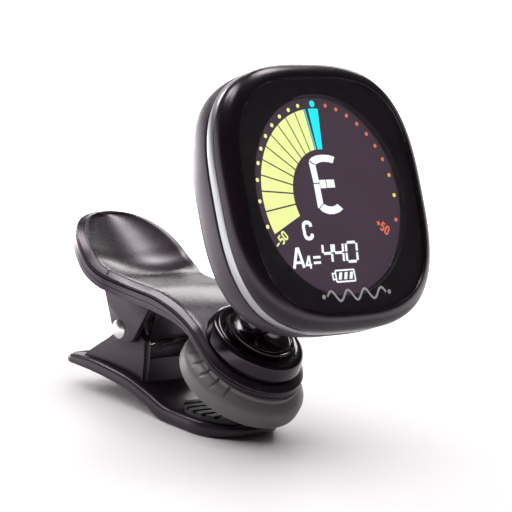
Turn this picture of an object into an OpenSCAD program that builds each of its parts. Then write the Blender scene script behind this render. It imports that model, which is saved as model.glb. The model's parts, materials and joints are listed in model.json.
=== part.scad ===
// Clip-on tuner: a sprung clip with a wide thumb pad carries a swivel, a tilt hinge and a display head.
// Millimetres, +Z up, +X from the thumb pad to the jaws, mirrored about y = 0 apart from small inner parts.
// The origin is the middle of the flat face under the lower jaw.

/* [Clip] */
// Half width of the levers at the waist
lever_half_w = 10.9; // [10:0.1:11.2]
// Radius of the thumb pad in plan
thumb_r = 13.2; // [12:0.1:14]
// Height of the clip's pivot above the resting face
pivot_z = 14.6; // [14:0.1:15]
// Radius of the pivot pin
pin_r = 1.2; // [1:0.05:1.4]
// Wire diameter of the torsion spring
wire_d = 1; // [0.8:0.05:1.1]
// Number of full turns in the torsion spring
spring_turns = 6; // [4:1:6]

/* [Jaw] */
// Radius of the round end of the upper lever
jaw_end_r = 11.3; // [11:0.1:11.5]
// Radius of the upper rubber disc at its gripping rim
jaw_pad_r = 12.6; // [12.2:0.1:12.7]
// How far the rubber disc stands ahead of the swivel axis
jaw_ahead = 1.3; // [1.1:0.1:1.4]
// Number of notches a full turn of the upper rubber disc would hold; the front third has none
jaw_notches = 24; // [12:1:30]
// Number of ribs across the lower rubber pad
lower_ribs = 6; // [3:1:7]

/* [Swivel and tilt hinge] */
// Forward lean of the swivel axis in degrees
swivel_lean = 29.25; // [27:0.25:31]
// Radius of the swivel base at its foot
swivel_r = 9.9; // [9.5:0.1:10.2]
// Radius of the round ears at the tilt hinge
ear_r = 4.1; // [3.8:0.1:4.2]
// Height of the tilt hinge above the top of the swivel base
tilt_h = 6; // [5.6:0.1:6.4]

/* [Head] */
// Width and height of the display head
head_size = 50; // [49:0.5:51]
// Roundness of the head's outline: 2 is a circle, larger is squarer
head_squareness = 2.95; // [2.8:0.05:3.1]
// Backward lean of the display in degrees
head_lean = 24.1; // [22:0.1:26]
// Size of the flat front panel
panel_size = 43.6; // [43:0.1:44]
// Radius of the round display window
window_r = 18.9; // [18:0.1:19]
// Depth of the head behind the display plane
head_back = 12.5; // [12:0.1:13]
// Wall of the rear shell
shell_wall = 1.6; // [1.2:0.1:1.8]
// Radius of the three rear buttons
button_r = 2.6; // [2.2:0.1:2.8]

/* [Hidden] */
$fn = 96;
slack = 0.06;                       // radial clearance of every running fit
over = 1;                           // how far a cutter runs past the face it cuts

// places of the sub-assemblies in the side view, [x, z]
pivot = [-21.6, pivot_z];
swivel_at = [8.34, 19.8];           // centre of the swivel base's top face
display_at = [22, 49.2];            // centre of the display's face

// heights along the swivel axis, from the top of the swivel base
base_foot = -3.7;
cover_top = -3.8;
cover_seam = -4.8;
frame_foot = -6;
pad_foot = -11.5;
stub_r = 3;
swivel_screw_r = 1.4;
collar_r = 6.75;
post_r = 5.8;
post_half_w = 2.5;
post_half_l = 4.2;
ear_in = 2.8;
ear_out = 5.3;
tilt_screw_r = 1.2;

// the tilt hinge seen from the head: behind the display plane and below the display's centre
hinge_x = swivel_at[0] + tilt_h*sin(swivel_lean) - display_at[0];
hinge_z = swivel_at[1] + tilt_h*cos(swivel_lean) - display_at[1];
hinge_n = hinge_x*cos(head_lean) + hinge_z*sin(head_lean);
hinge_u = hinge_z*cos(head_lean) - hinge_x*sin(head_lean);

// heights along the display's normal, from the display's face
panel_top = 1.86;
panel_foot = 1.2;
mask_foot = 1.1;
bezel_foot = -1.9;
trim_foot = -3.8;
head_half = head_size/2;
inner_half = head_half - shell_wall;
display_r = 20.4;
screw_spot = 16.5;                  // the case screws stand at plus and minus this in both directions
board_top = -4;
board_foot = -5;
button_u = 14.2;
button_pitch = 8.8;
button_travel = 0.5;

// side outlines of the clip, [x, z] from the thumb pad to the jaw
cover_line = [[-42, 35.1], [-34.2, 31.8], [-27.6, 27.2], [-20, 24.9], [-10.3, 24.4], [-3.5, 22.4], [1.2, 19.5]];
seam_line = [[-42, 34], [-34.5, 30.7], [-27.9, 26.1], [-20, 23.7], [-10.5, 23.1],
             [-4.5, 21.1], [0.3, 18.8]];
frame_line = [[-41.4, 31.9], [-35.4, 28.3], [-28.6, 23.3], [-20, 21.4], [-10.3, 20.7],
              [-4.6, 19.2], [0.2, 17.4]];
lever_top = [[-38, 6.2], [-29.6, 6.9], [-23.3, 6.6], [-17, 5.9], [-10.8, 4.3], [-6, 3], [2, 2.9], [14, 2.8]];
lever_foot = [[-38, 4.6], [-29, 4.5], [-23, 4.1], [-16.7, 3.3], [-11.2, 1.7], [-8.4, 0.5], [-6.5, 0]];

// ---- helpers ----

// one point on a smooth curve through b and c, with a and d as its neighbours
function curve_point(a, b, c, d, t) =
    0.5*(2*b + (c - a)*t + (2*a - 5*b + 4*c - d)*t*t + (3*b - a - 3*c + d)*t*t*t);

// a smooth curve through every point of a list
function smooth(p, steps = 5) = concat(
    [for (i = [0:len(p) - 2], k = [0:steps - 1])
        curve_point(p[max(i - 1, 0)], p[i], p[i + 1], p[min(i + 2, len(p) - 1)], k/steps)],
    [p[len(p) - 1]]);

function backwards(p) = [for (i = [len(p) - 1:-1:0]) p[i]];

// a rounded square whose sides bow a little: half is its half size
function bowed_square(half, power) =
    [for (a = [0:5:355])
        half/pow(pow(abs(cos(a)), power) + pow(abs(sin(a)), power), 1/power)*[cos(a), sin(a)]];

// a ribbon between two side curves, w wide across the clip
module side_ribbon(upper, lower, w) {
    rotate([90, 0, 0])
        linear_extrude(w, center = true)
            polygon(concat(upper, backwards(lower)));
}

// a side outline given as [x, z], from y0 to y1
module side_plate(points, y0, y1) {
    translate([0, y1, 0])
        rotate([90, 0, 0])
            linear_extrude(y1 - y0)
                polygon(points);
}

module mirrored() {
    children();
    mirror([0, 1, 0])
        children();
}

module at_side_point(p) {
    translate([p[0], 0, p[1]])
        rotate([90, 0, 0])
            children();
}

// local z runs along the swivel axis, local x leans forward and down
module on_swivel() {
    translate([swivel_at[0], 0, swivel_at[1]])
        rotate([0, swivel_lean, 0])
            children();
}

// local z is the display's normal, local x points down the display, local y to its right
module on_head() {
    translate([display_at[0], 0, display_at[1]])
        rotate([0, 90 - head_lean, 0])
            children();
}

module at_tilt_hinge() {
    translate([-hinge_u, 0, hinge_n])
        children();
}

module disc(r, low, high) {
    translate([0, 0, low])
        cylinder(r = r, h = high - low);
}

module ring(r_out, r_in, low, high) {
    difference() {
        disc(r_out, low, high);
        disc(r_in, low - over, high + over);
    }
}

module head_slab(half, low, high, power = head_squareness) {
    translate([0, 0, low])
        linear_extrude(high - low)
            polygon(bowed_square(half, power));
}

module at_case_screws() {
    for (sx = [-1, 1], sy = [-1, 1])
        translate([sx*screw_spot, sy*screw_spot, 0])
            children();
}

// ---- lower lever ----

module lower_plan() {
    translate([-34.7, -9.5])
        square([33, 19]);
    for (sy = [-1, 1])
        translate([-34.7, sy*6.5])
            circle(r = 3);
    translate([-37.7, -6.5])
        square([6, 13]);
    translate([-2, -9.7])
        square([3.8, 19.4]);
    translate([1.8, 0])
        circle(r = 9.7);
}

module lower_cheek() {
    side_plate([[-33, 6], [-30.8, 8.7], [-28.2, 10.4], [-26.2, 11.8], [-24.6, 13.4], [-24.2, 16.2],
                [-21.6, 17.6], [-19, 16.2], [-15, 13.4], [-15, 5.4], [-24, 6]], 6, 7.7);
}

module lower_lever() {
    foot = concat(smooth(lever_foot), smooth([[5, 0], [10, 0.9], [14, 2.1]]));
    color("#26242a")
        difference() {
            union() {
                intersection() {
                    side_ribbon(smooth(lever_top), foot, 24);
                    linear_extrude(20)
                        lower_plan();
                }
                mirrored()
                    lower_cheek();
                translate([-16.4, -6.2, 5])
                    cube([1.2, 12.4, 5.2]);
            }
            at_side_point(pivot)
                cylinder(r = pin_r, h = 30, center = true);
        }
}

module lower_pad() {
    pitch = 2.4;
    color("#3a3a3c")
        difference() {
            intersection() {
                translate([-5, -8.5, 2.95])
                    cube([14, 17, 1.15]);
                translate([2, 0, 0])
                    disc(8.6, 0, 6);
            }
            for (i = [0:lower_ribs - 1])
                translate([-3.6 + i*pitch, -9, 3.6])
                    cube([0.9, 18, 1]);
        }
}

module pivot_pin() {
    head_y = 9.25;
    color("#d8d8da") {
        at_side_point(pivot)
            cylinder(r = pin_r, h = 2*head_y, center = true);
        mirrored()
            translate([pivot[0], -head_y, pivot[1]])
                rotate([90, 0, 0])
                    intersection() {
                        cylinder(r = 1.85, h = 0.75);
                        translate([0, 0, -2.3])
                            sphere(r = 3);
                    }
    }
}

// a wire of round section swept along a path whose turns lie about the Y axis
module wire(path, d, sides = 8) {
    n = len(path);
    dirs = [for (i = [0:n - 1]) let (v = path[min(i + 1, n - 1)] - path[max(i - 1, 0)]) v/norm(v)];
    points = [for (i = [0:n - 1])
        let (out = cross(dirs[i], [0, 1, 0]), side = out/norm(out), up = cross(dirs[i], side))
        for (k = [0:sides - 1])
            path[i] + d/2*(cos(k*360/sides)*side + sin(k*360/sides)*up)];
    walls = [for (i = [0:n - 2], k = [0:sides - 1])
        let (a = i*sides + k, b = i*sides + (k + 1)%sides)
        [a, b, b + sides, a + sides]];
    caps = [[for (k = [sides - 1:-1:0]) k], [for (k = [0:sides - 1]) (n - 1)*sides + k]];
    polyhedron(points, concat(walls, caps), convexity = 10);
}

module torsion_spring() {
    coil_r = 3;
    half_l = 3.9;
    leg_turn = 60;                  // the coil starts and ends this far above and below level
    sweep_angle = 2*leg_turn + 360*spring_turns;
    steps = 20*spring_turns;
    coil = [for (i = [0:steps])
        let (a = leg_turn - sweep_angle*i/steps)
        [pivot[0] + coil_r*cos(a), half_l*(2*i/steps - 1), pivot[1] + coil_r*sin(a)]];
    upper_leg = [[-30.5, -half_l, 23.1]];
    lower_leg = [[-30.5, half_l, 7.5]];
    color("#b9b2a0")
        wire(concat(upper_leg, coil, lower_leg), wire_d);
}

// ---- upper lever ----

module upper_plan() {
    translate([-27.85, 0])
        circle(r = thumb_r);
    translate([-24, -lever_half_w])
        square([25, 2*lever_half_w]);
}

// the round end of the upper lever, with the stretch that joins it to the waist
module jaw_end(r_top, low, high) {
    on_swivel() {
        translate([0, 0, low])
            cylinder(r1 = jaw_end_r, r2 = r_top, h = high - low);
        translate([-7.5, -lever_half_w + jaw_end_r - r_top, low])
            cube([7, 2*(lever_half_w - jaw_end_r + r_top), high - low]);
    }
}

module upper_cheek() {
    side_plate([[-28.4, 23.6], [-23.9, 15], [-23, 13.2], [-21.6, 12.4], [-18.2, 12.6], [-16.9, 13.6],
                [-12.6, 21.6], [-20, 22.6]], 8, 9.2);
}

module upper_frame() {
    color("#2b2930")
        difference() {
            union() {
                intersection() {
                    side_ribbon(smooth(seam_line), smooth(frame_line), 30);
                    linear_extrude(60)
                        upper_plan();
                }
                jaw_end(jaw_end_r, frame_foot, cover_seam);
                mirrored()
                    upper_cheek();
                side_plate([[-17.2, 13.6], [-16.4, 13.4], [-12.4, 21.4], [-14, 21.4]], -5.6, 5.6);
            }
            side_ribbon(smooth(cover_line), smooth(seam_line), 30);
            at_side_point(pivot)
                cylinder(r = pin_r + slack, h = 30, center = true);
            on_swivel()
                disc(stub_r + slack, frame_foot - over, cover_seam + over);
        }
}

module upper_cover() {
    dish_r = 46;
    color("#1f1d22")
        difference() {
            union() {
                intersection() {
                    side_ribbon(smooth(cover_line), smooth(seam_line), 30);
                    linear_extrude(60)
                        upper_plan();
                }
                jaw_end(jaw_end_r - 0.9, cover_seam, cover_top);
            }
            side_ribbon(smooth(seam_line), smooth(frame_line), 30);
            on_swivel() {
                disc(stub_r + slack, cover_seam - over, cover_top + over);
                disc(swivel_r + 0.3, cover_top, cover_top + 3);
            }
            translate([-15.5, 0, 71.6])
                sphere(r = dish_r);
        }
}

module jaw_disc() {
    notch_foot = pad_foot + 3.7;
    difference() {
        rotate_extrude()
            polygon([[0, pad_foot], [jaw_pad_r - 0.6, pad_foot], [jaw_pad_r, pad_foot + 0.6],
                     [jaw_pad_r, pad_foot + 2.8], [jaw_pad_r - 0.5, pad_foot + 3.5],
                     [10.8, pad_foot + 4.4], [10.4, pad_foot + 4.6], [10.3, frame_foot], [0, frame_foot]]);
        for (a = [60:360/jaw_notches:300])
            rotate(a)
                translate([9.7, -0.4, notch_foot])
                    cube([3, 0.8, frame_foot - notch_foot + over]);
    }
}

module jaw_pad() {
    color("#4b4a4c")
        difference() {
            on_swivel()
                translate([jaw_ahead, 0, 0])
                    jaw_disc();
            on_swivel()
                disc(4.6, -7.9, frame_foot + over);
            side_ribbon(smooth(seam_line), smooth(frame_line), 30);
        }
}

// ---- swivel ----

module swivel_screw() {
    color("#c9c9cc")
        on_swivel()
            difference() {
                union() {
                    disc(swivel_screw_r, -6.5, 3.6);
                    disc(3.6, -7.5, -6.4);
                }
                translate([0, 0, -8])
                    cylinder(r = 1.2, h = 1.1, $fn = 6);
            }
}

module swivel_washer() {
    color("#b4b4b8")
        on_swivel()
            ring(4.2, swivel_screw_r, -6.4, -6.1);
}

module swivel_base() {
    color("#151417")
        on_swivel()
            difference() {
                union() {
                    rotate_extrude()
                        polygon([[0, base_foot], [swivel_r - 0.4, base_foot], [swivel_r - 0.4, -3],
                                 [swivel_r, -2.7], [swivel_r - 0.5, -0.6], [swivel_r - 1.4, 0], [0, 0]]);
                    disc(stub_r, -6.1, -3);
                }
                disc(swivel_screw_r, -9, over);
            }
}

module swivel_collar() {
    color("#1c1b1e")
        on_swivel()
            ring(collar_r, post_r, 0, 1);
}

module hinge_post() {
    color("#0f0e10")
        on_swivel()
            difference() {
                union() {
                    disc(post_r, 0, 1);
                    translate([-post_half_l, -post_half_w, 0.5])
                        cube([2*post_half_l, 2*post_half_w, tilt_h - 0.5]);
                    translate([0, post_half_w, tilt_h])
                        rotate([90, 0, 0])
                            cylinder(r = post_half_l, h = 2*post_half_w);
                }
                translate([0, 10, tilt_h])
                    rotate([90, 0, 0])
                        cylinder(r = tilt_screw_r + slack, h = 20);
                disc(swivel_screw_r, -over, 3.6);
            }
}

// ---- tilt hinge, built in the head's frame ----

module across(r, y0, y1) {
    translate([0, y1, 0])
        rotate([90, 0, 0])
            cylinder(r = r, h = y1 - y0);
}

module hinge_screw() {
    color("#b88a3a")
        on_head()
            at_tilt_hinge()
                difference() {
                    union() {
                        across(tilt_screw_r, -ear_out + 0.8, ear_out - 0.2);
                        across(2, -ear_out + 0.3, -ear_out + 1.3);
                    }
                    translate([-1.5, -ear_out, -0.3])
                        cube([3, 0.8, 0.6]);
                }
}

module hinge_nut() {
    color("#b88a3a")
        on_head()
            at_tilt_hinge()
                difference() {
                    translate([0, ear_out - 0.1, 0])
                        rotate([90, 0, 0])
                            cylinder(r = 2.3, h = 1.4, $fn = 6);
                    across(tilt_screw_r, 0, 10);
                }
}

module tilt_washers() {
    color("#8f8f93")
        on_head()
            at_tilt_hinge()
                mirrored()
                    difference() {
                        across(3.4, post_half_w + 0.02, ear_in);
                        across(tilt_screw_r, 0, 10);
                    }
}

module bracket_neck() {
    translate([-ear_r, -ear_out, 0])
        cube([2*ear_r, 2*ear_out, -hinge_n - head_back + shell_wall]);
}

module head_bracket() {
    color("#121114")
        on_head()
            difference() {
                union() {
                    at_tilt_hinge() {
                        mirrored()
                            across(ear_r, ear_in, ear_out);
                        bracket_neck();
                    }
                    translate([8.8, -7, -head_back + shell_wall])
                        cube([9, 14, 1]);
                }
                at_tilt_hinge() {
                    translate([-10, -ear_in, -10])
                        cube([20, 2*ear_in, 15]);
                    across(tilt_screw_r, -10, 10);
                    across(2.1, -10, -ear_out + 1.3);
                    translate([0, ear_out + over, 0])
                        rotate([90, 0, 0])
                            cylinder(r = 2.3, h = 1.5 + over, $fn = 6);
                }
            }
}

// ---- head ----

module head_outside() {
    hull() {
        head_slab(head_half, trim_foot - 3.4, trim_foot);
        head_slab(head_half - 0.8, trim_foot - 5, trim_foot - 4.9);
        head_slab(head_half - 2.6, trim_foot - 7, trim_foot - 6.9);
        head_slab(head_half - 5, -head_back + 0.3, -head_back + 0.4);
        head_slab(head_half - 6, -head_back, -head_back + 0.1);
    }
}

module head_inside() {
    hull() {
        head_slab(inner_half, trim_foot - 3.2, trim_foot + over);
        head_slab(inner_half - 2.6, trim_foot - 6, trim_foot - 5.9);
        head_slab(inner_half - 5, -head_back + shell_wall, -head_back + shell_wall + 0.1);
    }
}

module rear_shell() {
    socket_y = inner_half - 3;
    color("#232127")
        on_head()
            difference() {
                union() {
                    difference() {
                        head_outside();
                        head_inside();
                    }
                    intersection() {
                        head_outside();
                        at_case_screws()
                            disc(2.3, -head_back, -7);
                    }
                }
                at_case_screws() {
                    disc(1, -20, 0);
                    disc(1.7, -20, -9.4);
                }
                for (i = [-1:1])
                    translate([-button_u, i*button_pitch, 0])
                        disc(button_r + 0.2, -20, -8);
                at_tilt_hinge()
                    bracket_neck();
                translate([-4.7, socket_y, -8.35])
                    cube([9.4, 8, 3.5]);
            }
}

module trim_ring() {
    color("#dcdcde")
        on_head()
            difference() {
                head_slab(head_half - 0.1, trim_foot, bezel_foot);
                head_slab(inner_half, trim_foot - over, bezel_foot + over);
            }
}

module front_bezel() {
    color("#1b1a1d")
        on_head()
            difference() {
                union() {
                    difference() {
                        hull() {
                            head_slab(head_half, bezel_foot, bezel_foot + 1.4);
                            head_slab(head_half - 0.5, 0.5, 0.6);
                            head_slab(head_half - 1.4, 1.3, 1.4);
                            head_slab(head_half - 2.6, panel_top - 0.1, panel_top);
                        }
                        head_slab(inner_half, bezel_foot - over, 0);
                    }
                    at_case_screws()
                        disc(1.6, trim_foot - 0.4, 0);
                }
                head_slab(panel_size/2 + 0.05, mask_foot, panel_top + over, 3.2);
                disc(window_r + 0.7, -over, 3);
                at_case_screws()
                    disc(0.8, -8, -0.8);
            }
}

module front_panel() {
    color("#2a2a30", 0.4)
        on_head()
            head_slab(panel_size/2, panel_foot, panel_top, 3.2);
}

module panel_mask() {
    color("#050506")
        on_head()
            difference() {
                head_slab(panel_size/2, mask_foot, panel_foot, 3.2);
                disc(window_r, 0, 3);
            }
}

module window_ring() {
    color("#17161a")
        on_head()
            ring(window_r + 0.65, window_r, 0, mask_foot);
}

module display_module() {
    color("#20202a")
        on_head()
            disc(display_r, -1.4, 0);
}

module backlight() {
    color("#e6e6e0")
        on_head()
            disc(display_r, -2.6, -1.4);
}

module display_carrier() {
    color("#303036")
        on_head()
            difference() {
                disc(display_r + 0.8, -3.3, -0.1);
                disc(display_r, -2.6, over);
            }
}

module main_board() {
    color("#1d5c38")
        on_head()
            difference() {
                head_slab(inner_half - 1.2, board_foot, board_top);
                at_case_screws()
                    disc(2.6, -8, 0);
            }
}

module board_chip(x, y, lx, ly, h) {
    translate([x - lx/2, y - ly/2, board_foot - h])
        cube([lx, ly, h]);
}

module board_chips() {
    color("#101012")
        on_head() {
            board_chip(14, 0, 7, 7, 0.9);
            board_chip(13, 11, 4, 5, 0.9);
            board_chip(12, -12, 3, 6, 0.8);
        }
}

module button_switches() {
    color("#3b3b3f")
        on_head()
            for (i = [-1:1])
                translate([-button_u, i*button_pitch, 0]) {
                    translate([-2.2, -2.2, board_foot - 1.6])
                        cube([4.4, 4.4, 1.6]);
                    disc(1, board_foot - 2.2, board_foot - 1.5);
                }
}

module battery_cell() {
    color("#9aa0a8")
        on_head()
            translate([-9.5, -14, -10.2])
                cube([17, 28, 4]);
}

module sensor_disc() {
    color("#c7a04a")
        on_head()
            translate([-hinge_u - 2, 0, 0])
                disc(4.2, -head_back + 2.6, -head_back + 3.1);
}

module charge_socket() {
    depth = 6.6;
    color("#bfc1c4")
        on_head()
            translate([-4.5, inner_half + 0.5 - depth, board_foot - 3.2])
                difference() {
                    cube([9, depth, 3.2]);
                    translate([0.35, 1, 0.35])
                        cube([8.3, depth, 2.5]);
                }
}

module case_screws() {
    color("#8d8d92")
        on_head()
            at_case_screws() {
                disc(0.8, -9.4, -2);
                disc(1.5, -10.4, -9.4);
            }
}

module rear_button(spot) {
    on_head()
        translate([-button_u, spot*button_pitch, 0]) {
            disc(button_r, -head_back - 0.7, -head_back + shell_wall);
            disc(button_r + 0.5, -head_back + shell_wall + 0.1, -head_back + shell_wall + 0.8);
            disc(1, -head_back + shell_wall + 0.7, board_foot - 2.2 - button_travel - 0.1);
        }
}

module power_button() {
    color("#c0402c")
        rear_button(0);
}

module up_button() {
    color("#2e2c31")
        rear_button(1);
}

module down_button() {
    color("#2e2c31")
        rear_button(-1);
}

lower_lever();
lower_pad();
pivot_pin();
torsion_spring();
upper_frame();
upper_cover();
jaw_pad();
swivel_screw();
swivel_washer();
swivel_base();
swivel_collar();
hinge_post();
hinge_screw();
hinge_nut();
tilt_washers();
head_bracket();
rear_shell();
trim_ring();
front_bezel();
front_panel();
panel_mask();
window_ring();
display_module();
backlight();
display_carrier();
main_board();
board_chips();
button_switches();
battery_cell();
sensor_disc();
charge_socket();
case_screws();
power_button();
up_button();
down_button();
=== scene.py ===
import json
import math

import bmesh
import bpy
from mathutils import Matrix, Vector


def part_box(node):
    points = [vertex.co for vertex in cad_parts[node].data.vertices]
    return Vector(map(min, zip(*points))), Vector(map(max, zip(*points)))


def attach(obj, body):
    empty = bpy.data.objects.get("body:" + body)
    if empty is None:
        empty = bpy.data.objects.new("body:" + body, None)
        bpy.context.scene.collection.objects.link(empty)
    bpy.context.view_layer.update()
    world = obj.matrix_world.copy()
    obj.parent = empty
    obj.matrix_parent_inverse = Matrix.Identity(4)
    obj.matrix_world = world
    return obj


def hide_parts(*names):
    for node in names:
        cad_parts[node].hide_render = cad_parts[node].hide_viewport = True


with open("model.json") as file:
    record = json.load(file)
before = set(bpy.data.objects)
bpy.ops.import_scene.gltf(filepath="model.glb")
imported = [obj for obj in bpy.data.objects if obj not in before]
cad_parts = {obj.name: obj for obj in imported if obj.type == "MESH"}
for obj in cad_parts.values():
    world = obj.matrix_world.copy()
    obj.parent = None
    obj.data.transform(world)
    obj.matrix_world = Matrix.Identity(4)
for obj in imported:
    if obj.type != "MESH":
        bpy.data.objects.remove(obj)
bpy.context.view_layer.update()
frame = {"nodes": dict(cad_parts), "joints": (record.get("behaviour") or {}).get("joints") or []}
scene = bpy.context.scene
joints = {j["name"]: j for j in frame["joints"]}
cad = frame["nodes"]
MM = 0.001
Y = Vector((0, 1, 0))


# ---- places: local frames in millimetres ----


class Place:
    """x, y and z are its axes and o its origin, in millimetres of the CAD frame."""

    def __init__(self, o, x, y, z):
        self.o, self.x, self.y, self.z = Vector(o), Vector(x), Vector(y), Vector(z)

    def __call__(self, x, y, z):
        return self.o + self.x * x + self.y * y + self.z * z

    def moved(self, x, y, z):
        return Place(self(x, y, z), self.x, self.y, self.z)


def about(axis, origin):
    """A place with y along Y and the given z axis, which lies in the XZ plane."""
    z = Vector(axis).normalized()
    return Place(origin, Y.cross(z), Y, z)


SWIVEL = about(joints["swivel_turn"]["axis"], Vector(joints["swivel_turn"]["pos_m"]) / MM)
NORMAL = Vector(joints["power_press"]["axis"]).normalized()
panel_low, panel_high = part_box("front_panel")
# from the display's face to the middle of the CAD's front panel
PANEL_ABOVE_FACE = 1.53
HEAD = about(NORMAL, (panel_low + panel_high) / 2 / MM - PANEL_ABOVE_FACE * NORMAL)
HINGE = Place(Vector(joints["head_tilt"]["pos_m"]) / MM, HEAD.x, HEAD.y, HEAD.z)
PIVOT = Vector(joints["clip_pivot"]["pos_m"]) / MM
hinge_offset = HINGE.o - HEAD.o
HINGE_X, HINGE_N = hinge_offset.dot(HEAD.x), hinge_offset.dot(HEAD.z)


def sideways(p):
    """A place at p with its z axis along Y, for things that turn about Y."""
    return Place(p, (0, 0, 1), (1, 0, 0), (0, 1, 0))


# ---- curves ----


def smooth(points, steps=6):
    """A smooth curve through every point."""
    out = []
    n = len(points)
    for i in range(n - 1):
        a, b, c, d = (Vector(points[min(max(k, 0), n - 1)]) for k in (i - 1, i, i + 1, i + 2))
        for k in range(steps):
            t = k / steps
            out.append(
                0.5 * (2 * b + (c - a) * t + (2 * a - 5 * b + 4 * c - d) * t * t
                       + (3 * b - a - 3 * c + d) * t**3)
            )
    out.append(Vector(points[-1]))
    return out


def along(table, x):
    """The value at x in a list of (x, value), straight between entries."""
    if x <= table[0][0]:
        return table[0][1]
    for (x0, v0), (x1, v1) in zip(table, table[1:]):
        if x <= x1:
            return v0 + (v1 - v0) * (x - x0) / (x1 - x0)
    return table[-1][1]


def eased(table, steps=8):
    """The same list made smooth."""
    return [tuple(p) for p in smooth(table, steps)]


def ease(t):
    """From 0 to 1 with soft ends."""
    t = min(max(t, 0), 1)
    return t * t * (3 - 2 * t)


# ---- meshes ----


class Shape:
    def __init__(self):
        self.v, self.f = [], []

    def loft(self, rings, closed=False):
        """Joins rings of equal length. closed joins the last to the first; otherwise both ends are capped."""
        n, m, base = len(rings[0]), len(rings), len(self.v)
        for ring in rings:
            self.v += ring
        for i in range(m if closed else m - 1):
            a, b = base + i * n, base + (i + 1) % m * n
            self.f += [(a + k, a + (k + 1) % n, b + (k + 1) % n, b + k) for k in range(n)]
        if not closed:
            self.f.append(tuple(range(base, base + n)))
            self.f.append(tuple(range(base + (m - 1) * n, base + m * n)))
        return self

    def spin(self, place, profile, closed=False, n=96, notch=None):
        """Turns (radius, height) round the place's z axis."""
        rings = []
        for i, (r, h) in enumerate(profile):
            ring = []
            for k in range(n):
                a, q = math.tau * k / n, r - (notch(i, k) if notch else 0)
                ring.append(place(q * math.cos(a), q * math.sin(a), h))
            rings.append(ring)
        return self.loft(rings, closed)

    def bowed(self, place, rows, closed=False, n=144):
        """Rounded squares: rows of (half size, height, squareness)."""
        rings = []
        for half, h, power in rows:
            ring = []
            for k in range(n):
                a = math.tau * k / n
                c, s = math.cos(a), math.sin(a)
                r = half / (abs(c) ** power + abs(s) ** power) ** (1 / power)
                ring.append(place(r * c, r * s, h))
            rings.append(ring)
        return self.loft(rings, closed)

    def tile(self, place, outline, low, high):
        """A flat piece from its outline in the place's x and y."""
        return self.loft([[place(x, y, h) for x, y in outline] for h in (low, high)])

    def plate(self, outline, y0, y1, round_by):
        """An upright plate across Y from its side outline of (x, z), with eased edges."""
        rings = []
        middle = sum((Vector(p) for p in outline), Vector((0, 0))) / len(outline)
        near = 0.3 * round_by
        for y, inset in ((y0, round_by), (y0 + near, near), (y0 + round_by, 0),
                         (y1 - round_by, 0), (y1 - near, near), (y1, round_by)):
            ring = []
            for p in outline:
                d = Vector(p) - middle
                q = Vector(p) - d.normalized() * inset
                ring.append(Vector((q.x, y, q.y)))
            rings.append(ring)
        return self.loft(rings)

    def stroke(self, place, points, width, low, high, ring=False):
        """A flat line of the given width through points of the place's x and y."""
        pts = [Vector(p) for p in points]
        n = len(pts)
        left, right = [], []
        for i, p in enumerate(pts):
            before = pts[(i - 1) % n] if ring or i > 0 else None
            after = pts[(i + 1) % n] if ring or i < n - 1 else None
            d0 = (p - before).normalized() if before else None
            d1 = (after - p).normalized() if after else None
            d = (d0 + d1).normalized() if d0 and d1 else (d0 or d1)
            side = Vector((-d.y, d.x))
            grow = 1 / max(side.dot(Vector((-d1.y, d1.x))), 0.5) if d0 and d1 else 1
            left.append(p + side * width / 2 * grow)
            right.append(p - side * width / 2 * grow)
        rings = [[place(*q, h) for q, h in ((a, low), (b, low), (b, high), (a, high))] for a,
                 b in zip(left, right)]
        return self.loft(rings, ring)

    def mesh(self, name, angle=35):
        mesh = bpy.data.meshes.new(name)
        mesh.from_pydata([p * MM for p in self.v], [], self.f)
        bm = bmesh.new()
        bm.from_mesh(mesh)
        bmesh.ops.remove_doubles(bm, verts=bm.verts, dist=1e-8)
        bmesh.ops.recalc_face_normals(bm, faces=bm.faces)
        bm.to_mesh(mesh)
        bm.free()
        mesh.shade_smooth()
        mesh.set_sharp_from_angle(angle=math.radians(angle))
        obj = bpy.data.objects.new(name, mesh)
        scene.collection.objects.link(obj)
        return obj


def settle(obj, angle=35):
    """Applies the object's modifiers."""
    mesh = bpy.data.meshes.new_from_object(obj.evaluated_get(bpy.context.evaluated_depsgraph_get()))
    obj.modifiers.clear()
    obj.data = mesh
    mesh.set_sharp_from_angle(angle=math.radians(angle))
    return obj


def cut(obj, shape, angle=35):
    """Takes a shape away from an object."""
    tool = shape.mesh("cutter")
    mod = obj.modifiers.new("cut", "BOOLEAN")
    mod.object, mod.solver = tool, "EXACT"
    settle(obj, angle)
    bpy.data.objects.remove(tool)
    return obj


def soften(obj, width, segments=3, angle=32):
    """Rounds an object's sharp edges; width in millimetres."""
    mod = obj.modifiers.new("soften", "BEVEL")
    mod.width, mod.segments, mod.limit_method = width * MM, segments, "ANGLE"
    mod.angle_limit = math.radians(angle)
    mod.harden_normals = True
    return obj


def put(obj, body, slot, look, *stands_for):
    obj.data.materials.clear()
    obj.data.materials.append(look)
    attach(obj, body)
    if stands_for:
        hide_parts(*stands_for)
    return obj


def rod(r, low, high):
    """The profile of a plain cylinder, for Shape.spin."""
    return [(r, low), (r, high)]


# ---- looks ----


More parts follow.
